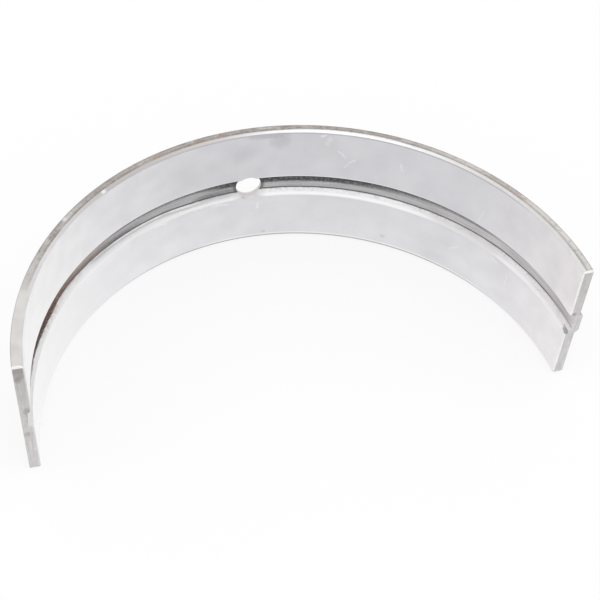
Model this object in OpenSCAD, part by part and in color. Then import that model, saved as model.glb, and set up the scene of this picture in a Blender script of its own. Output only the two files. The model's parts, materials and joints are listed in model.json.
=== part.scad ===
// Half of a split crankshaft bearing: a thin half sleeve with an oil groove along its bore,
// an oil hole at its crown and a locating lug at one of its two joint faces.
// The bearing axis is Z, the crown is at +Y, the shell opens towards -Y and the lug is at the +X end.
// The origin is on the bearing axis, halfway along the shell.

/* [Shell] */
// Diameter of the housing that the shell is clamped into
housing_d = 123; // [90:0.5:160]
// How much wider than its housing the loose shell springs open across its ends
free_spread = 1.7; // [0:0.1:3]
// Wall thickness
wall = 2.45; // [2:0.05:4]
// Length of the shell along the bearing axis
shell_w = 34.5; // [24:0.5:60]

/* [Edges] */
// Bevel between each rim and the bore, measured across the rim
bore_bevel = 0.7; // [0.2:0.05:0.9]
// The same bevel, measured along the bore
bore_bevel_h = 0.35; // [0.2:0.05:0.8]
// Bevel between each rim and the back
back_bevel = 0.15; // [0.05:0.05:0.8]
// Bevel between each rim and the joint faces
joint_bevel = 0.4; // [0.2:0.05:0.8]
// Bevel between the bore and the joint faces
joint_relief = 0.3; // [0.1:0.05:0.6]

/* [Oil groove] */
// Width of the groove where it opens into the bore
groove_w = 5.9; // [4:0.1:9]
// Width of the groove's flat floor
groove_floor_w = 3.4; // [1:0.1:3.8]
// Depth of the groove below the bore
groove_depth = 1.2; // [0.6:0.05:1.5]
// Radius between the groove's floor and its flanks
groove_fillet = 0.6; // [0.2:0.05:1.2]

/* [Oil hole] */
// Diameter of the hole
hole_d = 6.3; // [4:0.1:10]
// Bevel around the hole on the back
hole_bevel = 0.4; // [0.1:0.05:0.6]
// Bevel around the hole where it opens into the bore beside the groove
hole_lip = 0.35; // [0.1:0.05:0.6]

/* [Locating lug] */
// Width of the lug along the bearing axis, at its foot
lug_w = 6.8; // [4:0.1:10]
// How far the lug stands out of the back
lug_h = 0.85; // [0.5:0.05:1.6]
// Length of the lug along the back
lug_l = 5; // [3:0.1:8]
// Length of the lug's top before it slopes down to the back
lug_top_l = 2; // [0.5:0.1:2.5]
// How far each side of the lug slopes in
lug_side_slope = 1; // [0.2:0.05:1.8]
// Diameter of the round punch that leaves its half circle in the bore behind the lug
pocket_d = 6.4; // [6:0.1:12]
// Depth of that half-round pocket below the bore
pocket_depth = 0.7; // [0.3:0.05:1.2]

/* [Hidden] */
$fn = 240;

// How far a cutting form runs past the face that it cuts
over = 1;

// The middle of the wall keeps its length as the shell springs open, so the arc is shorter than a half circle
back_r = (housing_d + free_spread) / 2;
bore_r = back_r - wall;
arc_deg = 180 * (housing_d - wall) / (housing_d + free_spread - wall);
end_deg = (180 - arc_deg) / 2;
half_w = shell_w / 2;

// The groove's floor, and the slope of its flanks from the bearing axis
floor_r = bore_r + groove_depth;
flank_w = (groove_w - groove_floor_w) / 2;
flank_deg = atan2(groove_depth, flank_w);

// The lug is rooted halfway into the wall that the groove leaves
lug_root = (wall - groove_depth) / 2;

// Section of the plain wall, with bevelled rims: radius across, bearing axis upwards
module wall_section() {
    polygon([
        [bore_r + bore_bevel, -half_w],
        [back_r - back_bevel, -half_w],
        [back_r, back_bevel - half_w],
        [back_r, half_w - back_bevel],
        [back_r - back_bevel, half_w],
        [bore_r + bore_bevel, half_w],
        [bore_r, half_w - bore_bevel_h],
        [bore_r, bore_bevel_h - half_w],
    ]);
}

// The metal that stays in one corner of the groove's floor, between the corner and its fillet
module floor_corner() {
    tangent = groove_fillet * tan(flank_deg / 2);
    corner = [floor_r, groove_floor_w / 2];
    centre = corner - [groove_fillet, tangent];
    difference() {
        polygon([
            corner,
            corner - [0, tangent],
            centre,
            corner + tangent * [-sin(flank_deg), cos(flank_deg)],
        ]);
        translate(centre) circle(r = groove_fillet);
    }
}

// Section of the groove's cut, with sloping flanks that run on into the open bore
module groove_section() {
    mouth_w = groove_w + 2 * over / tan(flank_deg);
    difference() {
        polygon([
            [floor_r, -groove_floor_w / 2],
            [floor_r, groove_floor_w / 2],
            [bore_r - over, mouth_w / 2],
            [bore_r - over, -mouth_w / 2],
        ]);
        floor_corner();
        mirror([0, 1]) floor_corner();
    }
}

// The grooved strip, rolled to its arc
module rolled_strip() {
    rotate([0, 0, end_deg]) rotate_extrude(angle = arc_deg) difference() {
        wall_section();
        groove_section();
    }
}

// Round hole through the crown, bevelled on the back and where it cuts the bore
module oil_hole() {
    rotate([-90, 0, 0]) {
        cylinder(d = hole_d, h = back_r + over);
        translate([0, 0, bore_r - over])
            cylinder(d1 = hole_d + 2 * (hole_lip + over), d2 = hole_d, h = hole_lip + over);
        translate([0, 0, back_r - hole_bevel])
            cylinder(d1 = hole_d, d2 = hole_d + 2 * (hole_bevel + over), h = hole_bevel + over);
    }
}

// Places its children at the +X joint face: X outwards, Y along the shell away from the face
module at_lug_end() {
    rotate([0, 0, end_deg]) children();
}

// Bevel between the upper rim and a joint face
module rim_corner_cut() {
    translate([bore_r - over, 0, 0]) rotate([90, 0, 90]) linear_extrude(wall + 2 * over) polygon([
        [-over, half_w - joint_bevel - over],
        [joint_bevel + over, half_w + over],
        [-over, half_w + over],
    ]);
}

// Bevel between the bore and a joint face
module bore_corner_cut() {
    linear_extrude(shell_w + 2 * over, center = true) polygon([
        [bore_r - over, -over],
        [bore_r + joint_relief + over, -over],
        [bore_r - over, joint_relief + over],
    ]);
}

// All bevels of the joint face at the lug's end
module joint_face_cuts() {
    at_lug_end() {
        rim_corner_cut();
        mirror([0, 0, 1]) rim_corner_cut();
        bore_corner_cut();
    }
}

// Lug that stands out of the back, square at the joint face, with sloping sides and a sloping back end
module lug() {
    root_r = back_r - lug_root;
    tip_r = back_r + lug_h;
    intersection() {
        linear_extrude(lug_w, center = true) polygon([
            [root_r, 0],
            [tip_r, 0],
            [tip_r, lug_top_l],
            [sqrt(back_r ^ 2 - lug_l ^ 2), lug_l],
            [root_r, lug_l],
        ]);
        translate([0, lug_l, 0]) rotate([90, 0, 0]) linear_extrude(lug_l) polygon([
            [root_r, -lug_w / 2],
            [back_r, -lug_w / 2],
            [tip_r, lug_side_slope - lug_w / 2],
            [tip_r, lug_w / 2 - lug_side_slope],
            [back_r, lug_w / 2],
            [root_r, lug_w / 2],
        ]);
    }
}

// Half-round pocket that the punch leaves in the bore as it raises the lug
module punch_pocket() {
    translate([bore_r + pocket_depth, 0, 0]) rotate([0, -90, 0]) cylinder(d = pocket_d, h = pocket_depth + over);
}

// The whole shell is one piece of bonded strip
module bearing_shell() {
    color("silver") union() {
        difference() {
            rolled_strip();
            oil_hole();
            joint_face_cuts();
            mirror([1, 0, 0]) joint_face_cuts();
            at_lug_end() punch_pocket();
        }
        at_lug_end() lug();
    }
}

bearing_shell();
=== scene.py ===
"""Looks of a half-round engine bearing shell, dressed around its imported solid."""

import json
import math

import bmesh
import bpy
from bpy.props import FloatProperty, FloatVectorProperty, IntProperty, PointerProperty
from mathutils import Matrix, Vector


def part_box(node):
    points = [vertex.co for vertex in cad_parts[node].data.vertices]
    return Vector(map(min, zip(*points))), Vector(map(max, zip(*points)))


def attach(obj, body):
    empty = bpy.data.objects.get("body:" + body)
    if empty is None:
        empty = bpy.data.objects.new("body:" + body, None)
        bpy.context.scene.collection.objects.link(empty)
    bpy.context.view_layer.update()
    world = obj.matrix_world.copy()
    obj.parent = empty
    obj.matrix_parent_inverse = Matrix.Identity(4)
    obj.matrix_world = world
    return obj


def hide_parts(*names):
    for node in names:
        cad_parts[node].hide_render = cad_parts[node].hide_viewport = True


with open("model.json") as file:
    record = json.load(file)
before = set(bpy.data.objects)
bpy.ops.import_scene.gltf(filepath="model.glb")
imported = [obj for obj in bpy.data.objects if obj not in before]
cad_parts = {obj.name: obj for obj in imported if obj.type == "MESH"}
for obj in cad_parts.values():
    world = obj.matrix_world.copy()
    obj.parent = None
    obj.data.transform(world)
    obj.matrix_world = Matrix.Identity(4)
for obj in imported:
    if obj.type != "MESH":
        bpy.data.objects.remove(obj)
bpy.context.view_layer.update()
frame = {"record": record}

bl_info = {
    "name": "Engine bearing shell",
    "version": (1, 0, 0),
    "blender": (4, 5, 0),
    "location": "View3D > Sidebar > Bearing shell",
    "description": "Models and finishes a half-round engine bearing shell in a plain studio",
    "category": "Add Mesh",
}

MM = 0.001
NODE = "bearing_shell"

# Main sizes of the shell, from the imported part
MOUNTS = {mount["name"]: mount for mount in frame["record"]["mounts"]}
LOW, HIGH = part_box(NODE)
HALF_W = HIGH.z
BORE_R = MOUNTS["journal_seat"]["dims"]["r_mm"] * MM
BACK_R = MOUNTS["housing_seat"]["pos_m"][1]
HOLE_R = MOUNTS["oil_hole"]["dims"]["r_mm"] * MM
LUG_OUT = Vector(MOUNTS["locating_lug"]["axis"])
LUG_TIP_R = Vector(MOUNTS["locating_lug"]["pos_m"]).dot(LUG_OUT)
END_ANGLE = math.atan2(LUG_OUT.y, LUG_OUT.x)
ARC_ANGLE = math.pi - 2 * END_ANGLE
MIDDLE_R = (BORE_R + BACK_R) / 2

# The same sizes in millimetres, for the finishes
HALF_W_MM = HALF_W / MM
BORE_MM = BORE_R / MM
BACK_MM = BACK_R / MM
HOLE_MM = HOLE_R / MM

# How far a cutting tool runs past what it cuts, and how near counts as on a face
OVER = 1 * MM
NEAR = 0.02 * MM

# How nearly a face points one way, as a cosine: square to it, facing it, halfway or only aslant
SQUARE = 0.95
FACING = 0.9
HALFWAY = 0.5
ASLANT = 0.3

# Edges that bend by more than the first angle are worn, and by less than the second shaded smooth
WORN_ANGLE = math.radians(25)
SMOOTH_ANGLE = math.radians(12)

# Steps around the hole and the pocket, in a rounded corner and across a worn edge
HOLE_STEPS = 128
POCKET_STEPS = 96
CORNER_STEPS = 6
EDGE_STEPS = 2

# The camera's place, aim, turn and raised view, fitted to the photograph
CAMERA_AT = Vector((-57.88, -162.28, 213.68)) * MM
CAMERA_AIM = Vector((2.31, 20.43, 0)) * MM
CAMERA_ROLL = math.radians(4.42)
CAMERA_RAISE = 0.0067

# Size of the floor, how much of it the camera sees as plain white, and the lamp's place
FLOOR_SIZE = 4
FLOOR_GLOW = 0.8
LAMP_AT = Vector((0, -0.1, 0.7))


def length(name, description, millimetres):
    """A length that a user may change, in millimetres."""
    return FloatProperty(name=name, description=description, default=millimetres * MM, min=0, unit="LENGTH")


def colour(name, description, *rgb):
    """A colour that a user may change."""
    return FloatVectorProperty(
        name=name, description=description, default=rgb, size=3, min=0, max=1, subtype="COLOR"
    )


class ShellSizes(bpy.types.PropertyGroup):
    """Sizes of the shell's edges, groove, hole and lug."""

    bore_bevel: length("Bore bevel", "Bevel between rim and bore, across the rim", 0.7)
    bore_bevel_h: length("Bore bevel height", "The same bevel, along the bore", 0.35)
    back_bevel: length("Back bevel", "Bevel between rim and back", 0.15)
    joint_bevel: length("Joint bevel", "Bevel between rim and joint face", 0.4)
    joint_relief: length("Joint relief", "Bevel between bore and joint face", 0.3)
    edge_wear: length("Edge wear", "Width of the worn rounding on sharp edges", 0.08)
    groove_width: length("Groove width", "Width of the oil groove at the bore", 5.9)
    groove_floor: length("Groove floor", "Width of the groove's floor", 3.4)
    groove_depth: length("Groove depth", "Depth of the groove below the bore", 1.2)
    groove_fillet: length("Groove fillet", "Radius between the groove's floor and flanks", 0.6)
    hole_bevel: length("Hole bevel", "Bevel around the oil hole on the back", 0.4)
    hole_lip: length("Hole lip", "Bevel around the oil hole where it cuts the bore", 0.35)
    lug_width: length("Lug width", "Width of the lug at its foot", 6.8)
    lug_length: length("Lug length", "Length of the lug along the back", 5)
    lug_top: length("Lug top", "Length of the lug's top before it slopes down", 2)
    lug_slope: length("Lug slope", "How far each side of the lug slopes in", 1)
    lug_rounding: length("Lug rounding", "Rounding of the lug's pressed edges", 0.2)
    pocket_width: length("Pocket width", "Diameter of the pocket behind the lug", 6.4)
    pocket_depth: length("Pocket depth", "Depth of that pocket below the bore", 0.7)
    arc_steps: IntProperty(name="Arc steps", description="Steps along the arc", default=300, min=24)


class ShellColours(bpy.types.PropertyGroup):
    """Colours of the shell's metal, dirt and marks, and of its painted highlights, reflections and shade."""

    lining_crown: colour("Lining at the crown", "Satin lining around the oil hole", 0.695, 0.692, 0.722)
    # The lining's two end colours are painted reflection: paler where the lining is seen at a glancing angle
    lining_plain_end_reflection: colour("Lining at the plain end", "Lining towards the plain end", 0.99, 0.99, 0.985)
    lining_lug_end_reflection: colour("Lining at the lug's end", "Lining towards the lug", 0.872, 0.825, 0.837)
    # Painted light: the paler colour laid over the lining's lower half
    lining_lower_light: colour("Pale lining", "Rubbed, paler lining", 0.95, 0.95, 0.96)
    # Dull patches on the lining, also used for painted shade just under the upper bevel
    lining_dull_and_shade: colour("Dull lining", "Lining dulled in patches", 0.5, 0.5, 0.53)
    scratch: colour("Scratch", "Bright metal in a fresh scratch", 0.96, 0.96, 0.96)
    # Painted highlight, laid along the groove's edges, the rims, the bevels and the joint faces' edges
    painted_highlight: colour("Bright edge", "Rubbed edges of groove, rims and ends", 0.97, 0.965, 0.965)
    # The lower flank's bright colour is a painted highlight at the crown
    groove_flank: colour("Lower flank", "Lower flank of the groove", 0.88, 0.88, 0.89)
    groove_floor: colour("Groove floor", "Grey floor at the crown", 0.58, 0.575, 0.585)
    groove_grey: colour("Groove grey", "Darker floor before the rust", 0.5, 0.48, 0.475)
    groove_pale: colour("Groove pale", "Cleaner floor towards the lug", 0.7, 0.67, 0.675)
    # Dirt in the groove's corners, also used for painted shadow at the pocket's step
    groove_dirt_and_shade: colour("Groove dirt", "Dirt in the groove's corners", 0.15, 0.15, 0.155)
    # Painted shadow and shade in the groove: its upper half at the crown, under its upper edge and round the
    # hole
    groove_shade: colour("Groove oil", "Oil film at the crown", 0.09, 0.09, 0.095)
    groove_black: colour("Groove black", "Darkest dirt in the groove", 0.05, 0.048, 0.048)
    rim_bright: colour("Bright rim", "Clean metal of the rims", 0.72, 0.7, 0.68)
    rim_stained: colour("Stained rim", "Brownish stain on the rim", 0.43, 0.395, 0.37)
    rim_dark: colour("Dark rim", "Grime on the rim", 0.2, 0.18, 0.17)
    rust: colour("Rust", "Rust in stains and spots", 0.42, 0.28, 0.22)
    rust_dark: colour("Dark rust", "Old rust in the groove", 0.15, 0.08, 0.065)
    bevel: colour("Bevel", "Cut metal of the bore's bevels", 0.78, 0.775, 0.775)
    bevel_stained: colour("Stained bevel", "Stained metal of the bevels", 0.53, 0.5, 0.49)
    joint: colour("Joint face", "Ground metal of the joint faces", 0.73, 0.715, 0.715)
    # Smudged joint face, also used for painted shade on the lower bevel and under a crease in the groove's
    # flank
    joint_dull_and_shade: colour("Dull joint face", "Smudged joint face", 0.46, 0.445, 0.44)
    # Smudges on the joint faces, also used for painted shadow on the lining's lower edge and painted shade at
    # the lug's foot
    smudge_and_shade: colour("Joint smudge", "Dirt on the joint faces", 0.32, 0.295, 0.29)
    hole: colour("Hole", "Drilled wall of the oil hole", 0.6, 0.575, 0.55)
    back: colour("Back", "Steel of the back", 0.47, 0.46, 0.45)
    back_stained: colour("Stained back", "Stains on the back", 0.33, 0.3, 0.28)


class StageLook(bpy.types.PropertyGroup):
    """Floor, lamp and lens of the plain studio."""

    floor_colour: colour("Floor", "Colour of the pale floor", 0.93, 0.93, 0.93)
    lamp_size: length("Lamp size", "Width of the soft square lamp", 350)
    lamp_power: FloatProperty(name="Lamp power", description="Power of the lamp", default=0.5, unit="POWER")
    lens: FloatProperty(name="Lens", description="Focal length of the camera", default=76.3, unit="CAMERA")


def new_piece(add, **settings):
    """Adds a primitive with nothing else selected, and returns it."""
    bpy.ops.object.select_all(action="DESELECT")
    add(**settings)
    return bpy.context.object


def pick(piece, kind, test):
    """Selects, in edit mode, only the vertices, edges or faces that pass the test."""
    bpy.ops.mesh.select_mode(type=kind)
    bpy.ops.mesh.select_all(action="DESELECT")
    mesh = bmesh.from_edit_mesh(piece.data)
    for element in {"VERT": mesh.verts, "EDGE": mesh.edges, "FACE": mesh.faces}[kind]:
        if test(element):
            element.select_set(True)
    mesh.select_flush_mode()
    bmesh.update_edit_mesh(piece.data)


def make_active(piece):
    """Selects one piece alone and makes it the active one."""
    bpy.ops.object.select_all(action="DESELECT")
    piece.select_set(True)
    bpy.context.view_layer.objects.active = piece


def apply_place(piece):
    """Puts a piece's place, turn and scale into its mesh."""
    make_active(piece)
    bpy.ops.object.transform_apply(location=True, rotation=True, scale=True)


def turn_to_lug_end(piece):
    """Turns a piece from the X axis, where it was modelled, to the lug's end."""
    piece.matrix_world = Matrix.Rotation(END_ANGLE, 4, "Z") @ piece.matrix_world
    apply_place(piece)
    return piece


def carve(shell, tool, operation="DIFFERENCE"):
    """Cuts a tool out of the shell, or joins it on, and removes the tool."""
    make_active(shell)
    cut = shell.modifiers.new("cut", "BOOLEAN")
    cut.operation = operation
    cut.solver = "EXACT"
    cut.object = tool
    bpy.ops.object.modifier_apply(modifier=cut.name)
    bpy.data.objects.remove(tool)


def bevel_corners(piece, test, reach, segments=1):
    """Bevels or rounds the corners of a flat outline that pass the test."""
    pick(piece, "VERT", test)
    bpy.ops.mesh.bevel(offset=reach, segments=segments, affect="VERTICES", offset_type="OFFSET")


def wall_section(sizes):
    """The wall's section as one flat face on the X axis, with bevelled rims and a filleted groove."""
    upright = (math.pi / 2, 0, 0)
    section = new_piece(bpy.ops.mesh.primitive_plane_add, size=1, location=(MIDDLE_R, 0, 0), rotation=upright)
    section.scale = (BACK_R - BORE_R, 2 * HALF_W, 1)
    apply_place(section)
    bpy.ops.object.mode_set(mode="EDIT")
    for half in (sizes.groove_width / 2, sizes.groove_floor / 2):
        for height in (half, -half):
            bpy.ops.mesh.select_all(action="SELECT")
            bpy.ops.mesh.bisect(plane_co=(0, 0, height), plane_no=(0, 0, 1))
    pick(section, "VERT", lambda v: v.co.x < BORE_R + NEAR and abs(v.co.z) < sizes.groove_floor / 2 + NEAR)
    bpy.ops.transform.translate(value=(sizes.groove_depth, 0, 0))
    pick(section, "EDGE", lambda e: not e.is_boundary)
    bpy.ops.mesh.dissolve_edges(use_verts=False)
    pick(section, "VERT", lambda v: v.co.x > BACK_R - NEAR and abs(v.co.z) < HALF_W - NEAR)
    bpy.ops.mesh.dissolve_verts()
    flank_slope = math.atan2(sizes.groove_depth, (sizes.groove_width - sizes.groove_floor) / 2)
    fillet_reach = sizes.groove_fillet * math.tan(flank_slope / 2)
    bevel_corners(section, lambda v: BORE_R + NEAR < v.co.x < BACK_R - NEAR, fillet_reach, CORNER_STEPS)
    on_rim = HALF_W - NEAR
    bevel_corners(section, lambda v: v.co.x < BORE_R + NEAR and abs(v.co.z) > on_rim, sizes.bore_bevel_h)
    pick(section, "VERT", lambda v: v.co.x < MIDDLE_R and abs(v.co.z) > on_rim)
    bpy.ops.transform.translate(value=(sizes.bore_bevel - sizes.bore_bevel_h, 0, 0))
    bevel_corners(section, lambda v: v.co.x > BACK_R - NEAR and abs(v.co.z) > on_rim, sizes.back_bevel)
    return section


def rolled_strip(sizes):
    """The section spun along the shell's arc."""
    strip = wall_section(sizes)
    bpy.ops.mesh.select_all(action="SELECT")
    bpy.ops.mesh.spin(steps=sizes.arc_steps, angle=ARC_ANGLE, center=(0, 0, 0), axis=(0, 0, -1))
    bpy.ops.mesh.select_all(action="SELECT")
    bpy.ops.mesh.remove_doubles(threshold=NEAR / 10)
    bpy.ops.mesh.normals_make_consistent(inside=False)
    bpy.ops.object.mode_set(mode="OBJECT")
    return turn_to_lug_end(strip)


def flare(tool, side, reach):
    """Widens a drill at one end, by as much as it grows longer there."""
    grown = reach + OVER
    pick(tool, "FACE", lambda f: f.normal.y * side > FACING)
    bpy.ops.mesh.extrude_region_move(TRANSFORM_OT_translate={"value": (0, side * grown, 0)})
    widen = 1 + grown / HOLE_R
    bpy.ops.transform.resize(value=(widen, 1, widen), center_override=(0, 0, 0))


def hole_tool(sizes):
    """A drill for the oil hole that flares at the bore and at the back."""
    start, end = BORE_R + sizes.hole_lip, BACK_R - sizes.hole_bevel
    tool = new_piece(
        bpy.ops.mesh.primitive_cylinder_add,
        vertices=HOLE_STEPS,
        radius=HOLE_R,
        depth=end - start,
        location=(0, (start + end) / 2, 0),
        rotation=(-math.pi / 2, 0, 0),
    )
    apply_place(tool)
    bpy.ops.object.mode_set(mode="EDIT")
    flare(tool, 1, sizes.hole_bevel)
    flare(tool, -1, sizes.hole_lip)
    bpy.ops.object.mode_set(mode="OBJECT")
    return tool


def corner_block(point, normal):
    """A block that cuts a corner off along the plane through the point: small at a rim, large at the bore."""
    size = 6 * OVER if abs(normal.z) > NEAR else 3 * HALF_W
    facing = normal.to_track_quat("Z", "X").to_euler()
    middle = point + normal * size / 2
    return new_piece(bpy.ops.mesh.primitive_cube_add, size=size, location=middle, rotation=facing)


def joint_tools(sizes):
    """Blocks for the bevels of the joint face at the lug's end."""
    tools = []
    for side in (1, -1):
        point = Vector((MIDDLE_R, 0, side * (HALF_W - sizes.joint_bevel)))
        tools.append(corner_block(point, Vector((0, -1, side)).normalized()))
    point = Vector((BORE_R + sizes.joint_relief, 0, 0))
    tools.append(corner_block(point, Vector((-1, -1, 0)).normalized()))
    return [turn_to_lug_end(tool) for tool in tools]


def mirrored(tool):
    """A copy of a tool for the joint face at the other end."""
    make_active(tool)
    bpy.ops.object.duplicate()
    copy = bpy.context.object
    copy.scale = (-1, 1, 1)
    apply_place(copy)
    bpy.ops.object.mode_set(mode="EDIT")
    bpy.ops.mesh.select_all(action="SELECT")
    bpy.ops.mesh.normals_make_consistent(inside=False)
    bpy.ops.object.mode_set(mode="OBJECT")
    return copy


def pocket_tool(sizes):
    """The round punch that leaves the pocket in the bore behind the lug."""
    depth = sizes.pocket_depth + OVER
    tool = new_piece(
        bpy.ops.mesh.primitive_cylinder_add,
        vertices=POCKET_STEPS,
        radius=sizes.pocket_width / 2,
        depth=depth,
        location=(BORE_R + sizes.pocket_depth - depth / 2, 0, 0),
        rotation=(0, math.pi / 2, 0),
    )
    return turn_to_lug_end(tool)


def lug_block(sizes):
    """The lug, rooted in the wall, with sloping sides, a sloping back end and pressed edges."""
    lug_h = LUG_TIP_R - BACK_R
    wall_behind_groove = BACK_R - BORE_R - sizes.groove_depth
    root = wall_behind_groove / 4
    foot_w = sizes.lug_width + 2 * sizes.lug_slope * root / lug_h
    middle = Vector(((BACK_R - root + LUG_TIP_R) / 2, sizes.lug_length / 2, 0))
    lug = new_piece(bpy.ops.mesh.primitive_cube_add, size=1, location=middle)
    lug.scale = (lug_h + root, sizes.lug_length, foot_w)
    apply_place(lug)
    bpy.ops.object.mode_set(mode="EDIT")
    tip = LUG_TIP_R - NEAR
    side_move = sizes.lug_width / 2 - sizes.lug_slope - foot_w / 2
    for side in (1, -1):
        pick(lug, "VERT", lambda v: v.co.x > tip and v.co.z * side > 0)
        bpy.ops.transform.translate(value=(0, 0, side * side_move))
    drop = LUG_TIP_R - math.sqrt(BACK_R**2 - sizes.lug_length**2) + 2 * NEAR
    bpy.ops.mesh.select_all(action="SELECT")
    bpy.ops.mesh.bisect(
        plane_co=(LUG_TIP_R, sizes.lug_top, 0),
        plane_no=Vector((sizes.lug_length - sizes.lug_top, drop, 0)).normalized(),
        use_fill=True,
        clear_outer=True,
        threshold=NEAR / 10,
    )
    pick(lug, "EDGE", lambda e: any(v.co.x > tip for v in e.verts) and sum(v.co.y for v in e.verts) > NEAR)
    bpy.ops.mesh.bevel(offset=sizes.lug_rounding, segments=CORNER_STEPS)
    bpy.ops.object.mode_set(mode="OBJECT")
    return turn_to_lug_end(lug)


def is_worn(edge, sizes):
    """Whether an edge is sharp enough to be worn; the hole, the pocket and the lug's foot stay as cut."""
    if edge.calc_face_angle(0) < WORN_ANGLE:
        return False
    at = (edge.verts[0].co + edge.verts[1].co) / 2
    from_lug_end = at.y * LUG_OUT.x - at.x * LUG_OUT.y
    at_hole = at.y > 0 and math.hypot(at.x, at.z) < HOLE_R + 2 * sizes.hole_bevel
    at_pocket = at.x > 0 and math.hypot(from_lug_end, at.z) < sizes.pocket_width / 2 + OVER / 4
    if at_hole or (at_pocket and at.xy.length < BORE_R + sizes.groove_depth + NEAR):
        return False
    return edge.is_convex or at.xy.length < BACK_R - NEAR


def round_edges(shell, sizes):
    """Wears the sharp edges round by a hair, and shades the broad faces smooth."""
    make_active(shell)
    bpy.ops.object.mode_set(mode="EDIT")
    bpy.ops.mesh.select_all(action="SELECT")
    bpy.ops.mesh.remove_doubles(threshold=NEAR / 2)
    bpy.ops.mesh.dissolve_degenerate(threshold=NEAR / 2)
    pick(shell, "EDGE", lambda e: is_worn(e, sizes))
    bpy.ops.transform.edge_bevelweight(value=1)
    bpy.ops.object.mode_set(mode="OBJECT")
    edge = shell.modifiers.new("edge", "BEVEL")
    edge.width = sizes.edge_wear
    edge.segments = EDGE_STEPS
    edge.limit_method = "WEIGHT"
    edge.use_clamp_overlap = False
    bpy.ops.object.modifier_apply(modifier=edge.name)
    bpy.ops.object.shade_smooth_by_angle(angle=SMOOTH_ANGLE)
    true = shell.modifiers.new("true", "WEIGHTED_NORMAL")
    true.weight = 100
    true.keep_sharp = True
    bpy.ops.object.modifier_apply(modifier=true.name)


def bearing_shell_form(sizes):
    """The whole shell as one closed mesh."""
    shell = rolled_strip(sizes)
    joint_blocks = joint_tools(sizes)
    tools = [hole_tool(sizes), pocket_tool(sizes)]
    tools += joint_blocks + [mirrored(block) for block in joint_blocks]
    for tool in tools:
        carve(shell, tool)
    carve(shell, lug_block(sizes), "UNION")
    round_edges(shell, sizes)
    shell.name = "shell"
    shell.data.name = "shell"
    return shell


class NodeTree:
    """A node tree with short calls that add nodes and link them."""

    def __init__(self, tree):
        self.tree = tree

    def feed(self, socket, value):
        """Links a socket to another one, or sets it to a value or a colour."""
        if isinstance(value, bpy.types.NodeSocket):
            self.tree.links.new(value, socket)
        elif socket.type == "RGBA":
            socket.default_value = (*value, 1)
        else:
            socket.default_value = value

    def add(self, kind, inputs, **settings):
        """Adds a node with its settings and inputs."""
        node = self.tree.nodes.new(kind)
        for name, value in settings.items():
            setattr(node, name, value)
        for key, value in inputs.items():
            self.feed(node.inputs[key], value)
        return node

    def group(self, name, **inputs):
        """Places a shared node group and returns its output."""
        return self.add("ShaderNodeGroup", inputs, node_tree=bpy.data.node_groups[name]).outputs[0]

    def math(self, operation, a, b=0):
        return self.add("ShaderNodeMath", {0: a, 1: b}, operation=operation).outputs[0]

    def times(self, *factors):
        """The product of values, masks and strengths."""
        product = factors[0]
        for factor in factors[1:]:
            product = self.math("MULTIPLY", product, factor)
        return product

    def squares(self, x, y):
        """The sum of two squares."""
        return self.math("ADD", self.math("POWER", x, 2), self.math("POWER", y, 2))

    def distance(self, x, y):
        """The distance that two distances at a right angle make."""
        return self.math("POWER", self.squares(x, y), 0.5)

    def vector(self, operation, a, b):
        return self.add("ShaderNodeVectorMath", {0: a, 1: b}, operation=operation).outputs["Vector"]

    def split(self, vector):
        return self.add("ShaderNodeSeparateXYZ", {0: vector}).outputs

    def turn(self, vector, angle):
        """A place turned about the strip's normal."""
        inputs = {"Vector": vector, "Angle": angle}
        return self.add("ShaderNodeVectorRotate", inputs, rotation_type="Z_AXIS").outputs[0]

    def rescale(self, value, low, high, start=0, end=1, course="LINEAR"):
        """Turns the range from low to high into the one from start to end."""
        inputs = {"Value": value, "From Min": low, "From Max": high, "To Min": start, "To Max": end}
        return self.add("ShaderNodeMapRange", inputs, interpolation_type=course).outputs["Result"]

    def step(self, value, low, high):
        """Rises smoothly from 0 at low to 1 at high, or falls where low is the larger."""
        return self.rescale(value, low, high, course="SMOOTHSTEP")

    def between(self, value, low, high, fade):
        """1 between two values, with a soft fade on either side."""
        return self.times(self.step(value, low - fade, low), self.step(value, high + fade, high))

    def noise(self, vector, scale, detail):
        return self.add("ShaderNodeTexNoise", {"Vector": vector, "Scale": scale, "Detail": detail}).outputs[0]

    def mix(self, share, a, b):
        """Blends two colours."""
        return self.add("ShaderNodeMix", {0: share, 6: a, 7: b}, data_type="RGBA").outputs[2]


def new_group(name, output, output_kind="Float", **inputs):
    """An empty node group; returns its tree, inlets and outlet."""
    group = bpy.data.node_groups.new(name, "ShaderNodeTree")
    for socket, kind in inputs.items():
        group.interface.new_socket(socket, in_out="INPUT", socket_type=f"NodeSocket{kind}")
    group.interface.new_socket(output, in_out="OUTPUT", socket_type=f"NodeSocket{output_kind}")
    inlets = group.nodes.new("NodeGroupInput").outputs
    outlet = group.nodes.new("NodeGroupOutput").inputs[0]
    return NodeTree(group), inlets, outlet


def strip_place_group():
    """Place on the unrolled shell, in millimetres: along from the crown, height and radius."""
    tree, _, outlet = new_group("strip_place", "Strip", "Vector")
    place = tree.add("ShaderNodeTexCoord", {}).outputs["Object"]
    x, y, z = tree.split(tree.vector("MULTIPLY", place, (1 / MM, 1 / MM, 1 / MM)))
    along = tree.times(tree.math("ARCTAN2", x, y), BORE_MM)
    strip = tree.add("ShaderNodeCombineXYZ", {0: along, 1: z, 2: tree.distance(x, y)}).outputs[0]
    tree.feed(outlet, strip)


def mottle_group():
    """Cloudy variation with patches of a given size."""
    tree, inlets, outlet = new_group("mottle", "Value", Strip="Vector", Size="Float")
    scale = tree.math("DIVIDE", 1, inlets["Size"])
    tree.feed(outlet, tree.step(tree.noise(inlets["Strip"], scale, 4), 0.3, 0.7))


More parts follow.
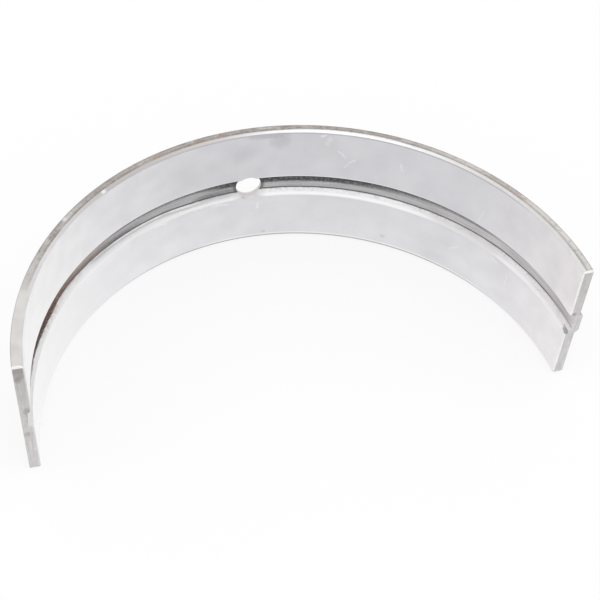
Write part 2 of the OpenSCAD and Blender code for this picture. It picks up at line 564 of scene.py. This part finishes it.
def speckle_group():
    """Small spots of a given size; a larger share gives more of them."""
    tree, inlets, outlet = new_group("speckle", "Mask", Strip="Vector", Size="Float", Share="Float")
    scale = tree.math("DIVIDE", 1, inlets["Size"])
    edge = tree.math("SUBTRACT", 0.75, inlets["Share"])
    past = tree.math("SUBTRACT", tree.noise(inlets["Strip"], scale, 3), edge)
    tree.feed(outlet, tree.step(past, 0, 0.08))


def streaks_group():
    """Fine lines left by a tool; the pattern is drawn out where its scale is small."""
    tree, inlets, outlet = new_group("streaks", "Value", Strip="Vector", Scale="Vector")
    place = tree.vector("MULTIPLY", inlets["Strip"], inlets["Scale"])
    tree.feed(outlet, tree.noise(place, 1, 4))


def smudge_group():
    """One soft patch with an uneven edge, at a place on the strip."""
    tree, inlets, outlet = new_group("smudge", "Mask", Strip="Vector", Centre="Vector", Reach="Vector")
    local = tree.vector("SUBTRACT", inlets["Strip"], inlets["Centre"])
    x, y, _ = tree.split(tree.vector("DIVIDE", local, inlets["Reach"]))
    wobble = tree.times(tree.noise(inlets["Strip"], 0.7, 3), 1.2)
    tree.feed(outlet, tree.step(tree.math("ADD", tree.squares(x, y), wobble), 1.7, 0.5))


def scratch_group():
    """One short scratch at a place on the strip, turned, broken and slightly bent."""
    sizes = {"Angle": "Float", "Length": "Float", "Width": "Float"}
    tree, inlets, outlet = new_group("scratch", "Mask", Strip="Vector", Centre="Vector", **sizes)
    local = tree.vector("SUBTRACT", inlets["Strip"], inlets["Centre"])
    x, y, _ = tree.split(tree.turn(local, tree.times(inlets["Angle"], -1)))
    bend = tree.times(tree.math("SUBTRACT", tree.noise(inlets["Strip"], 0.6, 1), 0.5), 0.8)
    off = tree.math("ABSOLUTE", tree.math("ADD", y, bend))
    half = tree.times(inlets["Length"], 0.5)
    ends = tree.step(tree.math("ABSOLUTE", x), half, tree.times(half, 0.5))
    sides = tree.step(off, tree.times(inlets["Width"], 0.5), 0)
    broken = tree.step(tree.noise(inlets["Strip"], 1.4, 3), 0.25, 0.55)
    tree.feed(outlet, tree.times(ends, sides, broken))


def fine_scratches_group():
    """Many faint short scratches, each turned at random."""
    tree, inlets, outlet = new_group("fine_scratches", "Mask", Strip="Vector", Spacing="Float", Share="Float")
    flat = tree.vector("MULTIPLY", inlets["Strip"], (1, 1, 0))
    inverse = tree.math("DIVIDE", 1, inlets["Spacing"])
    scaled = tree.add("ShaderNodeVectorMath", {0: flat, "Scale": inverse}, operation="SCALE").outputs[0]
    cell = tree.add("ShaderNodeTexVoronoi", {"Vector": scaled, "Scale": 1}, voronoi_dimensions="2D").outputs
    chance, turn, reach = tree.split(cell["Color"])
    local = tree.vector("SUBTRACT", scaled, cell["Position"])
    x, y, _ = tree.split(tree.turn(local, tree.times(turn, math.tau)))
    ends = tree.step(tree.math("ABSOLUTE", x), tree.times(reach, 0.35), 0)
    sides = tree.step(tree.math("ABSOLUTE", y), 0.03, 0)
    kept = tree.math("LESS_THAN", chance, inlets["Share"])
    tree.feed(outlet, tree.times(ends, sides, kept))


class Metal(NodeTree):
    """A metal that is painted in layers; its masks lie on the unrolled strip, in millimetres."""

    def __init__(self, name, colours):
        self.material = bpy.data.materials.new(name)
        self.material.use_nodes = True
        super().__init__(self.material.node_tree)
        self.colours = colours
        self.surface = self.tree.nodes["Principled BSDF"].inputs
        self.feed(self.surface["Metallic"], 1)
        self.strip = self.group("strip_place")
        self.along, self.height, self.radius = self.split(self.strip)
        self.shade = None

    def pattern(self, name, **inputs):
        """A shared pattern, on the strip unless another place is given."""
        return self.group(name, **{"Strip": self.strip, **inputs})

    def stretch(self, limits):
        """A mask for a stretch of the strip, given as start, end and fade."""
        return self.between(self.along, *limits)

    def past_hole(self, start, end):
        """A step that runs between two distances from the oil hole's edge."""
        from_hole = self.distance(self.along, self.height)
        return self.step(from_hole, HOLE_MM + start, HOLE_MM + end)

    def shade_along(self, stops):
        """A shade that changes along the strip, given as pairs of a place and a colour's name."""
        low, high = stops[0][0], stops[-1][0]
        node = self.add("ShaderNodeValToRGB", {0: self.rescale(self.along, low, high)})
        elements = node.color_ramp.elements
        while len(elements) < len(stops):
            elements.new(0.5)
        for element, (at, name) in zip(elements, stops):
            element.position = (at - low) / (high - low)
            element.color = (*getattr(self.colours, name), 1)
        return node.outputs["Color"]

    def paint(self, name, *masks):
        """Lays a colour over the shade, as far as masks, stretches and strengths let it."""
        masks = [self.stretch(mask) if isinstance(mask, tuple) else mask for mask in masks]
        self.shade = self.mix(self.times(*masks), self.shade, getattr(self.colours, name))

    def finish(self, rough, relief, depth):
        """Links the shade, the roughness and the relief, whose depth is in millimetres."""
        self.feed(self.surface["Base Color"], self.shade)
        self.feed(self.surface["Roughness"], rough)
        bump = self.add("ShaderNodeBump", {"Height": relief, "Distance": depth * MM})
        self.feed(self.surface["Normal"], bump.outputs["Normal"])
        return self.material


# Stretches of the strip, in millimetres from the crown towards the lug: start, end and fade
UPPER_EDGE_SHADED = (-36, 66, 8)
LOWER_EDGE_SHADOW = (-10, 40, 40)
LOWER_LIP_HIGHLIGHT = (-8, 60, 8)
SHINE_LESS_LEFT = (-40, -6, 6)
SHINE_LESS_RIGHT = (49, 62, 8)
GROOVE_SOILED = (-44, -34, 8)
GROOVE_BESIDE_HOLE = (-11, -5, 5)
GROOVE_RUSTY = (-60, -50, 8)
GROOVE_SHADED_EDGE = (-32, 58, 14)
GROOVE_WORN = (-46, 80, 16)
CORNER_HIGH = (-52, -24, 10)
CORNER_LOWEST = (-83, -79, 8)
CORNER_LOW = (-74, -62, 5)
FLANK_CREASED = (-40, -16, 8)
FLANK_RUSTY = (-66, -44, 8)
RIM_STAINED = (-60, 40, 14)
RIM_DIRTY = (-60, 94, 14)
RIM_BROWN_PATCH = (59, 65, 5)
RIM_GLINT = (14, 32, 6)
RIM_SPECKLED = (-66, 90, 8)
RIM_HIGHLIGHT_DAB = (-51.2, -50.8, 0.9)
RIM_RUST_LEFT = (-22, -8, 5)
RIM_RUST_RIGHT = (57, 66, 6)
BEVEL_HIGHLIGHT_DAB = (-39.4, -39.2, 0.9)

# Colours along the strip, each from its place in millimetres from the crown
# The lining's paler ends are painted reflection
LINING_SHADES = (
    (-92, "lining_plain_end_reflection"), (-8, "lining_crown"), (50, "lining_crown"), (92, "lining_lug_end_reflection"),
)
# At the lug's joint face the groove turns to the lining's painted reflection
GROOVE_SHADES = (
    (-94, "groove_floor"), (-80, "groove_pale"), (-74, "rust_dark"), (-70, "groove_black"),
    (-66, "groove_black"), (-60, "rust_dark"), (-49, "groove_grey"), (-12, "groove_floor"),
    (40, "groove_floor"), (66, "groove_pale"), (90.5, "groove_pale"), (92.5, "lining_lug_end_reflection"),
)
# The flank's bright middle is a painted highlight, and its ends take the lining's painted reflection
FLANK_SHADES = (
    (-92, "lining_plain_end_reflection"), (-50, "groove_flank"), (50, "groove_flank"), (92, "lining_lug_end_reflection"),
)
RIM_SHADES = ((-74, "rim_bright"), (-56, "rim_stained"), (36, "rim_stained"), (52, "rim_bright"))
UPPER_BEVEL_SHADES = (
    (-60, "joint"), (-36, "bevel_stained"), (-6, "bevel_stained"), (10, "bevel"), (36, "bevel"),
    (56, "rim_bright"), (78, "rim_bright"), (90, "bevel"),
)
# The lower bevel: painted shade from the crown on, painted reflection towards the plain end
LOWER_BEVEL_PAINTED_LIGHT = ((-70, "lining_plain_end_reflection"), (-15, "joint_dull_and_shade"))

# Scratches on the lining: along the strip from the crown, height, length, angle, width and strength
SCRATCHES = (
    (22.1, 10.8, 3.8, -42, 0.8, 0.5),
    (24.7, 8.9, 2.8, 41, 1.0, 0.5),
    (23.5, 7.3, 2.2, 52, 0.9, 0.3),
    (36.9, 10.1, 3.2, -65, 0.85, 0.4),
    (17.4, 16.1, 2.0, 22, 1.0, 0.5),
    (18.8, 14.4, 3.6, 67, 2.1, 0.35),
    (58.9, 5.9, 5.0, 78, 0.8, 0.3),
    (53.5, -8.3, 3.8, 38, 1.0, 0.4),
    (69.5, -7.6, 4.4, 89, 0.9, 0.35),
    (65.4, -4.4, 4.0, -12, 1.4, 0.35),
    (-7.3, -3.8, 5.5, -6, 1.1, 0.5),
    (-23.8, -3.5, 5.0, -4, 1.2, 0.5),
    (2.1, -6.0, 3.0, 80, 1.0, 0.4),
)

# Dull patches on the lining: along, height, reach along, reach up and strength
DULL_PATCHES = (
    (7.1, 14.4, 3.0, 3.0, 0.5),
    (4.0, 16.2, 6.0, 1.1, 0.8),
    (-1.4, 11.1, 3.4, 3.2, 0.15),
    (46.0, -10.0, 4.0, 3.0, 0.15),
    (-20.0, -9.0, 5.0, 3.0, 0.12),
    (3.9, -15.4, 0.7, 0.6, 0.6),
    (34.5, -13.8, 0.9, 0.7, 0.5),
)

# Smudges on the joint faces: end (1 for the lug's), radius, height, reach across, reach up and strength
JOINT_SMUDGES = (
    (-1, 61.2, 15.6, 2.4, 2.6, 0.7),
    (-1, 61.5, 13.3, 1.1, 1.2, 0.6),
    (-1, 60.8, 2.8, 1.0, 1.6, 0.6),
    (-1, 61.5, -4.8, 0.9, 1.0, 0.5),
    (1, 60.8, 3.4, 0.8, 0.7, 0.7),
    (1, 62.5, 3.5, 0.5, 0.7, 0.7),
)

# The clear film of oil on the lining, and the tint that dims the groove
OIL_FILM = {"Coat Weight": 1, "Coat Roughness": 0.25, "Coat IOR": 1.6}
GROOVE_TINT = (0.6, 0.59, 0.58)


def lay_lining(metal):
    """Lays the lining's colour: grey at the crown, paler towards both ends as painted reflection, painted
    lighter on its lower half, mottled and patched.
    """
    metal.shade = metal.shade_along(LINING_SHADES)
    # Painted reflection of the nearer floor: the lining's lower half made paler
    metal.paint("lining_lower_light", metal.step(metal.height, -1, -5), 0.28)
    clouds = metal.pattern("mottle", Size=9)
    metal.paint("lining_dull_and_shade", clouds, metal.step(metal.along, -90, -10), 0.2)
    for at, up, reach, rise, strength in DULL_PATCHES:
        patch = metal.pattern("smudge", Centre=(at, up, 0), Reach=(reach, rise, 1))
        metal.paint("lining_dull_and_shade", patch, strength)


def lining_scratches(metal):
    """All scratches on the lining, placed and fine."""
    marks = metal.times(metal.pattern("fine_scratches", Spacing=5, Share=0.25), 0.2)
    for at, up, reach, angle, width, strength in SCRATCHES:
        turn = math.radians(angle)
        mark = metal.pattern("scratch", Centre=(at, up, 0), Angle=turn, Length=reach, Width=width)
        marks = metal.math("MAXIMUM", marks, metal.times(mark, strength))
    return marks


def groove_shine(metal):
    """How strongly the painted highlight along the groove's lower edge shows: less on both sides of the
    crown.
    """
    left = metal.times(metal.stretch(SHINE_LESS_LEFT), 0.45)
    right = metal.times(metal.stretch(SHINE_LESS_RIGHT), 0.75)
    return metal.math("SUBTRACT", 1, metal.math("ADD", left, right))


def lining_material(sizes, colours):
    """Satin lining of the bore under a thin clear film of oil."""
    metal = Metal("lining", colours)
    for socket, value in OIL_FILM.items():
        metal.feed(metal.surface[socket], value)
    lay_lining(metal)
    height = metal.height
    groove_edge = sizes.groove_width / 2 / MM
    # Painted highlight along both edges of the groove, stronger at the lower edge and at the crown, and left
    # out by the hole
    lip = metal.between(metal.math("ABSOLUTE", height), groove_edge, groove_edge + 0.25, 0.15)
    brighter_below = metal.rescale(height, 1, -1, 0.35, 0.8)
    metal.paint("painted_highlight", lip, brighter_below, groove_shine(metal), metal.past_hole(0.8, 2.5))
    top = (HALF_W - sizes.bore_bevel_h) / MM
    # Painted shade: a darker line on the lining just under the upper bevel
    upper_edge = metal.step(height, top - 0.5, top - 0.25)
    metal.paint("lining_dull_and_shade", upper_edge, UPPER_EDGE_SHADED, 0.85)
    # Painted shadow: a dark line along the lining's lower edge, where the gap under the rim is shaded
    lower_edge = metal.step(height, 0.45 - top, 0.2 - top)
    metal.paint("smudge_and_shade", lower_edge, LOWER_EDGE_SHADOW, 0.9)
    # Painted highlight: a thin bright line just above the lining's lower edge
    lower_lip = metal.between(height, 0.5 - top, 0.75 - top, 0.2)
    metal.paint("painted_highlight", lower_lip, LOWER_LIP_HIGHLIGHT, 0.5)
    marks = lining_scratches(metal)
    metal.paint("scratch", marks)
    rough = metal.rescale(metal.pattern("mottle", Size=5), 0, 1, 0.34, 0.46)
    lines = metal.pattern("streaks", Scale=(0.03, 5, 0))
    relief = metal.math("SUBTRACT", metal.times(lines, 0.3), marks)
    return metal.finish(rough, relief, 0.01)


def lay_groove_floor(metal, level):
    """Lays the groove's floor: rusty, then grey, cleaner towards the lug, with painted shadow on its upper
    half at the crown and painted shade under its upper edge and round the hole.
    """
    metal.shade = metal.shade_along(GROOVE_SHADES)
    lines = metal.step(metal.pattern("streaks", Scale=(0.12, 2.6, 0)), 0.35, 0.7)
    metal.paint("groove_dirt_and_shade", lines, 0.35)
    sunk = metal.times(metal.step(level, 0.5, -0.8), 0.6)
    soiled = metal.math("MAXIMUM", metal.stretch(GROOVE_SOILED), metal.stretch(GROOVE_BESIDE_HOLE))
    metal.paint("groove_dirt_and_shade", sunk, soiled)
    metal.paint("rust_dark", sunk, GROOVE_RUSTY)
    # Painted shadow: the upper half of the floor at the crown, shaded by the groove's upper edge
    crown = metal.times(metal.step(metal.along, -14, -5), metal.step(metal.along, 52, 20))
    metal.paint("groove_shade", metal.step(level, -0.15, 0.75), crown)
    # Painted shade under the groove's upper edge
    metal.paint("groove_shade", metal.step(level, 0.7, 1.3), GROOVE_SHADED_EDGE, 0.6)
    metal.paint("groove_pale", metal.pattern("speckle", Size=0.6, Share=0.24), 0.16)
    # Painted shade: a darker ring round the hole's edge
    metal.paint("groove_shade", metal.past_hole(1.2, 0.2), 0.7)


def lay_groove_flank(metal, level, low, edge, corner):
    """Lays the groove's lower flank: pale, with a painted highlight at the crown and along its edge, a crease
    drawn in painted highlight and shade, dirty in its corner and by the hole.
    """
    worn = metal.stretch(GROOVE_WORN)
    shine = groove_shine(metal)
    # Painted highlight: the flank is brightest at the crown and plainer to either side
    metal.shade = metal.mix(shine, metal.colours.joint, metal.shade_along(FLANK_SHADES))
    grains = metal.pattern("speckle", Size=0.6, Share=0.22)
    metal.paint("joint_dull_and_shade", grains, metal.step(low, 0.4 - edge, -0.1 - corner), worn, 0.4)
    creased = metal.stretch(FLANK_CREASED)
    # Painted highlight along a crease in the flank
    metal.paint("painted_highlight", metal.between(low, -2, -1.8, 0.1), creased, 0.5)
    # Painted shade under that crease; beside the hole the flank is smeared darker
    crease = metal.times(metal.between(low, -2.4, -2.2, 0.15), creased)
    smear = metal.times(metal.step(low, -2.7, -1.9), metal.stretch(GROOVE_BESIDE_HOLE))
    metal.paint("joint_dull_and_shade", metal.math("MAXIMUM", crease, smear), 0.5)
    grime = metal.step(metal.pattern("streaks", Scale=(0.22, 0.8, 0)), 0.45, 0.75)
    metal.paint("groove_floor", grime, worn, metal.step(level, 0.3 - edge, 0.7 - edge), 0.5)
    # Painted highlight along the flank's outer edge, where it meets the lower land
    metal.paint("painted_highlight", metal.step(level, 0.6 - edge, 0.1 - edge), shine)
    metal.paint("joint", metal.past_hole(2.4, 0.2), 0.7)


def groove_material(sizes, colours):
    """Oil groove: a stained floor with painted shadow, and a pale lower flank with painted highlights, with
    rust towards the plain end.
    """
    metal = Metal("groove", colours)
    metal.feed(metal.surface["Specular Tint"], GROOVE_TINT)
    edge = sizes.groove_width / 2 / MM
    corner = sizes.groove_floor / 2 / MM
    wander = metal.times(metal.math("SUBTRACT", metal.noise(metal.strip, 0.9, 4), 0.5), 0.25)
    level = metal.math("ADD", metal.height, wander)
    rise = metal.math("ADD", metal.stretch(CORNER_HIGH), metal.step(metal.along, 40, 70))
    fall = metal.math("MAXIMUM", metal.times(metal.stretch(CORNER_LOWEST), 1.7), metal.stretch(CORNER_LOW))
    low = metal.math("SUBTRACT", level, metal.times(metal.math("SUBTRACT", rise, fall), 0.3))
    lay_groove_floor(metal, level)
    corner_line = metal.between(low, 0.08 - corner, 0.28 - corner, 0.15)
    metal.paint("groove_dirt_and_shade", corner_line, GROOVE_WORN)
    floor_shade = metal.shade
    lay_groove_flank(metal, level, low, edge, corner)
    on_flank = metal.step(low, 0.05 - corner, -0.15 - corner)
    metal.shade = metal.mix(on_flank, floor_shade, metal.shade)
    # Painted shadow: a short dark line at the pocket's step on the lower flank
    in_pocket = metal.step(metal.along, 90.6, 92)
    metal.paint("groove_dirt_and_shade", in_pocket, metal.between(metal.height, -3.3, -2.5, 0.3), 0.4)
    spots = metal.pattern("mottle", Size=1.3)
    metal.paint("rust", spots, FLANK_RUSTY, metal.step(low, 0.2 - edge, -corner), 0.45)
    return metal.finish(0.45, metal.noise(metal.strip, 3, 4), 0.03)


def rim_material(colours):
    """Rims: clean at the ends, stained brown between, grimy in streaks and rusty in places."""
    metal = Metal("rim", colours)
    radius = metal.radius
    dirty = metal.stretch(RIM_DIRTY)
    metal.shade = metal.shade_along(RIM_SHADES)
    clouds = metal.pattern("mottle", Size=5)
    metal.paint("joint_dull_and_shade", clouds, 0.35)
    metal.paint("rim_stained", RIM_BROWN_PATCH, 0.7)
    rubbed = metal.step(metal.pattern("streaks", Scale=(0.16, 0, 0.4)), 0.5, 0.68)
    metal.paint("rim_bright", rubbed, 0.6)
    grime = metal.step(metal.pattern("streaks", Scale=(0.4, 0, 1.6)), 0.48, 0.7)
    grime = metal.times(grime, metal.stretch(RIM_STAINED))
    inner = metal.times(metal.between(radius, BORE_MM + 0.75, BORE_MM + 1.1, 0.3), 0.6)
    metal.paint("rim_dark", metal.math("MAXIMUM", grime, inner), dirty, 0.65)
    # Painted highlight: a glint along the rim's inner edge
    inner_edge = metal.step(radius, BORE_MM + 1.05, BORE_MM + 0.8)
    metal.paint("painted_highlight", inner_edge, RIM_GLINT, 0.7)
    specks = metal.pattern("speckle", Size=0.9, Share=0.17)
    metal.paint("rim_dark", specks, RIM_SPECKLED, 0.35)
    metal.paint("rim_bright", metal.pattern("speckle", Size=0.7, Share=0.2), 0.25)
    # Painted highlight: a small white dab on the rim's outer half
    outer_half = metal.step(radius, BACK_MM - 1.75, BACK_MM - 0.75)
    metal.paint("painted_highlight", RIM_HIGHLIGHT_DAB, outer_half, 0.5)
    rusty = metal.math("MAXIMUM", metal.stretch(RIM_RUST_LEFT), metal.stretch(RIM_RUST_RIGHT))
    metal.paint("rust", metal.pattern("speckle", Size=2, Share=0.25), rusty, 0.4)
    metal.paint("rim_dark", metal.step(radius, BACK_MM - 0.45, BACK_MM - 0.15), dirty, 0.5)
    rough = metal.rescale(clouds, 0, 1, 0.4, 0.6)
    return metal.finish(rough, metal.noise(metal.strip, 2, 4), 0.02)


def bevel_material(colours):
    """Cut bevels at the bore's rims: stained towards the plain end, with painted shade on the lower bevel
    that turns to painted reflection at the plain end.
    """
    metal = Metal("bevel", colours)
    metal.shade = metal.shade_along(UPPER_BEVEL_SHADES)
    metal.paint("bevel_stained", metal.pattern("mottle", Size=2.5), 0.3)
    # Painted highlight: a small white dab on the bevel
    metal.paint("painted_highlight", BEVEL_HIGHLIGHT_DAB, 0.7)
    # Painted shade on the lower bevel, turning to painted reflection at the plain end
    lower = metal.step(metal.height, 1, -1)
    metal.shade = metal.mix(lower, metal.shade, metal.shade_along(LOWER_BEVEL_PAINTED_LIGHT))
    return metal.finish(0.35, metal.pattern("streaks", Scale=(0.05, 6, 6)), 0.01)


def hole_material(sizes, colours):
    """Drilled wall of the oil hole, lighter towards the bore."""
    metal = Metal("hole_wall", colours)
    lines = metal.pattern("streaks", Scale=(0.2, 0.2, 4))
    metal.shade = colours.hole
    metal.paint("joint", metal.step(lines, 0.3, 0.7))
    # The wall is lighter below this radius, towards the bore
    rubbed = BORE_MM + sizes.groove_depth * 0.75 / MM
    metal.paint("joint", metal.step(metal.radius, rubbed + 0.1, rubbed - 0.1))
    return metal.finish(0.5, lines, 0.02)


def edge_material(colours):
    """Edges around the joint faces: a mottled painted highlight at the top and at the lug's end, plain
    elsewhere.
    """
    metal = Metal("edge_highlight", colours)
    upper = metal.step(metal.height, HALF_W_MM - 1, HALF_W_MM - 0.5)
    above_foot = metal.step(metal.height, 0.5 - HALF_W_MM, 1 - HALF_W_MM)
    lug_end = metal.times(metal.step(metal.along, -1, 1), above_foot)
    dull = metal.pattern("mottle", Size=1.5)
    # Painted highlight, mottled, laid where the top and the lug's end let it show
    metal.shade = colours.painted_highlight
    metal.paint("joint", dull, 0.35)
    metal.shade = metal.mix(metal.math("MAXIMUM", upper, lug_end), colours.joint, metal.shade)
    return metal.finish(0.4, dull, 0.01)


def joint_material(colours):
    """Joint faces: ground along the shell's width, and smudged."""
    metal = Metal("joint_face", colours)
    lines = metal.pattern("streaks", Scale=(2, 0.25, 5))
    metal.shade = colours.joint
    metal.paint("joint_dull_and_shade", metal.step(lines, 0.35, 0.75), 0.6)
    metal.paint("joint_dull_and_shade", metal.step(metal.height, -1, 12), 0.3)
    across_face = {0: metal.radius, 1: metal.height, 2: metal.along}
    face = metal.add("ShaderNodeCombineXYZ", across_face).outputs[0]
    metal.paint("joint_dull_and_shade", metal.pattern("mottle", Strip=face, Size=1.4), 0.25)
    for end, across, up, reach, rise, strength in JOINT_SMUDGES:
        smudge = metal.pattern("smudge", Strip=face, Centre=(across, up, 0), Reach=(reach, rise, 1))
        metal.paint("smudge_and_shade", smudge, metal.step(metal.along, -end, end), strength)
    return metal.finish(0.45, lines, 0.02)


def back_material(colours):
    """Steel back: turned along the arc, stained in patches, with a rubbed lug and painted shade at its foot.
    """
    metal = Metal("steel_back", colours)
    above = metal.math("SUBTRACT", metal.radius, BACK_MM)
    lines = metal.pattern("streaks", Scale=(0.05, 3, 0))
    drawn_out = metal.vector("MULTIPLY", metal.strip, (0.35, 1, 1))
    stains = metal.pattern("mottle", Strip=drawn_out, Size=6)
    metal.shade = colours.back
    metal.paint("back_stained", stains, 0.35)
    metal.paint("joint", lines, 0.3)
    metal.paint("rim_bright", metal.pattern("fine_scratches", Spacing=6, Share=0.4), 0.4)
    metal.paint("joint", metal.step(above, 0.3, 0.75), 0.7)
    # Painted shade: a dark line at the lug's foot
    metal.paint("smudge_and_shade", metal.between(above, 0.04, 0.2, 0.03), 0.6)
    return metal.finish(metal.rescale(stains, 0, 1, 0.35, 0.55), lines, 0.02)


def face_finish(face, sizes):
    """The finish that a face of the shell takes, from its place and normal."""
    at, normal = face.center, face.normal
    radius = math.hypot(at.x, at.y)
    outwards = (normal.x * at.x + normal.y * at.y) / radius
    from_hole = math.hypot(at.x, at.z)
    to_hole = -(normal.x * at.x + normal.z * at.z) / max(from_hole, NEAR)
    if from_hole < HOLE_R + sizes.hole_lip + NEAR and to_hole > HALFWAY and at.y > 0:
        return "hole_wall" if to_hole > FACING or normal.y < 0 else "steel_back"
    from_joint = BACK_R * math.sin(ARC_ANGLE / 2 - abs(math.atan2(at.x, at.y)))
    if abs(normal.z) > SQUARE:
        return "rim" if abs(at.z) > HALF_W - NEAR else "groove"
    if from_joint < max(sizes.joint_bevel, sizes.joint_relief) and radius < BACK_R:
        along_arc = -(normal.y * abs(at.x) - normal.x * math.copysign(at.y, at.x)) / radius
        if along_arc > SQUARE:
            return "joint_face"
        if along_arc > ASLANT:
            return "edge_highlight"
    if abs(outwards) < ASLANT:
        return "joint_face"
    if outwards > 0:
        return "steel_back"
    if abs(at.z) > HALF_W - sizes.bore_bevel_h - NEAR:
        return "bevel"
    in_groove = abs(at.z) < sizes.groove_width / 2 and radius > BORE_R + NEAR
    return "groove" if in_groove else "lining"


def finish_shell(shell, sizes, colours):
    """Gives every face of the shell its material."""
    strip_place_group()
    mottle_group()
    speckle_group()
    streaks_group()
    smudge_group()
    scratch_group()
    fine_scratches_group()
    shell.data.materials.clear()
    finishes = (
        lining_material(sizes, colours),
        groove_material(sizes, colours),
        rim_material(colours),
        bevel_material(colours),
        joint_material(colours),
        hole_material(sizes, colours),
        edge_material(colours),
        back_material(colours),
    )
    for material in finishes:
        shell.data.materials.append(material)
    order = [material.name for material in finishes]
    for face in shell.data.polygons:
        face.material_index = order.index(face_finish(face, sizes))


class BEARINGSHELL_OT_add_shell(bpy.types.Operator):
    """Models the bearing shell in place of its solid and gives it its metal"""

    bl_idname = "bearing_shell.add_shell"
    bl_label = "Add bearing shell"
    bl_options = {"REGISTER", "UNDO"}

    def execute(self, context):
        sizes = context.scene.bearing_shell_sizes
        shell = bearing_shell_form(sizes)
        finish_shell(shell, sizes, context.scene.bearing_shell_colours)
        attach(shell, "root")
        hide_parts(NODE)
        return {"FINISHED"}


def add_camera(look):
    """The camera at the photograph's place, looking down into the shell."""
    data = bpy.data.cameras.new("camera")
    data.lens = look.lens
    data.shift_y = CAMERA_RAISE
    data.clip_start = 10 * MM
    camera = bpy.data.objects.new("camera", data)
    bpy.context.scene.collection.objects.link(camera)
    facing = (CAMERA_AIM - CAMERA_AT).to_track_quat("-Z", "Y").to_matrix().to_4x4()
    camera.matrix_world = Matrix.Translation(CAMERA_AT) @ facing @ Matrix.Rotation(CAMERA_ROLL, 4, "Z")
    bpy.context.scene.camera = camera


def floor_material(look):
    """Pale floor that keeps the shell's shadow; the camera and the metal see it nearly white."""
    material = bpy.data.materials.new("floor")
    material.use_nodes = True
    tree = NodeTree(material.node_tree)
    plain = material.node_tree.nodes["Principled BSDF"]
    tree.feed(plain.inputs["Base Color"], look.floor_colour)
    tree.feed(plain.inputs["Roughness"], 0.9)
    white = tree.add("ShaderNodeEmission", {"Strength": 1})
    path = tree.add("ShaderNodeLightPath", {}).outputs
    reflected = tree.math("MAXIMUM", path["Is Glossy Ray"], path["Is Transmission Ray"])
    share = tree.math("ADD", tree.times(path["Is Camera Ray"], FLOOR_GLOW), reflected)
    blend = tree.add("ShaderNodeMixShader", {0: share, 1: plain.outputs[0], 2: white.outputs[0]})
    tree.feed(material.node_tree.nodes["Material Output"].inputs["Surface"], blend.outputs[0])
    return material


def add_floor(look):
    """A wide pale floor under the shell's lower rim."""
    floor = new_piece(bpy.ops.mesh.primitive_plane_add, size=FLOOR_SIZE, location=(0, 0, LOW.z))
    floor.name = "floor"
    floor.data.materials.append(floor_material(look))


def add_lamp(look):
    """A soft square lamp above the shell that faces it."""
    data = bpy.data.lights.new("key", "AREA")
    data.size = look.lamp_size
    data.energy = look.lamp_power
    lamp = bpy.data.objects.new("key", data)
    lamp.location = LAMP_AT
    lamp.rotation_euler = (-LAMP_AT).to_track_quat("-Z", "Y").to_euler()
    bpy.context.scene.collection.objects.link(lamp)


def set_world():
    """Plain white surroundings."""
    world = bpy.data.worlds.new("studio")
    bpy.context.scene.world = world
    world.use_nodes = True
    back = world.node_tree.nodes["Background"].inputs
    back["Color"].default_value = (1, 1, 1, 1)
    back["Strength"].default_value = 1


class BEARINGSHELL_OT_add_stage(bpy.types.Operator):
    """Adds the camera, the pale floor, the white surroundings and the lamp"""

    bl_idname = "bearing_shell.add_stage"
    bl_label = "Add plain studio"
    bl_options = {"REGISTER", "UNDO"}

    def execute(self, context):
        look = context.scene.bearing_shell_stage
        add_camera(look)
        add_floor(look)
        set_world()
        add_lamp(look)
        context.scene.view_settings.view_transform = "Standard"
        return {"FINISHED"}


class BEARINGSHELL_PT_panel(bpy.types.Panel):
    """Lists the sizes, the colours, the studio and the two steps"""

    bl_idname = "BEARINGSHELL_PT_panel"
    bl_label = "Bearing shell"
    bl_space_type = "VIEW_3D"
    bl_region_type = "UI"
    bl_category = "Bearing shell"

    def draw(self, context):
        scene = context.scene
        for group in (scene.bearing_shell_sizes, scene.bearing_shell_colours, scene.bearing_shell_stage):
            box = self.layout.box()
            for name in group.__annotations__:
                box.prop(group, name)
        self.layout.operator(BEARINGSHELL_OT_add_shell.bl_idname)
        self.layout.operator(BEARINGSHELL_OT_add_stage.bl_idname)


CLASSES = (
    ShellSizes,
    ShellColours,
    StageLook,
    BEARINGSHELL_OT_add_shell,
    BEARINGSHELL_OT_add_stage,
    BEARINGSHELL_PT_panel,
)


def register():
    for cls in CLASSES:
        bpy.utils.register_class(cls)
    bpy.types.Scene.bearing_shell_sizes = PointerProperty(type=ShellSizes)
    bpy.types.Scene.bearing_shell_colours = PointerProperty(type=ShellColours)
    bpy.types.Scene.bearing_shell_stage = PointerProperty(type=StageLook)


def unregister():
    del bpy.types.Scene.bearing_shell_stage
    del bpy.types.Scene.bearing_shell_colours
    del bpy.types.Scene.bearing_shell_sizes
    for cls in reversed(CLASSES):
        bpy.utils.unregister_class(cls)


def main():
    register()
    bpy.ops.bearing_shell.add_shell()
    bpy.ops.bearing_shell.add_stage()


if __name__ == "__main__":
    main()
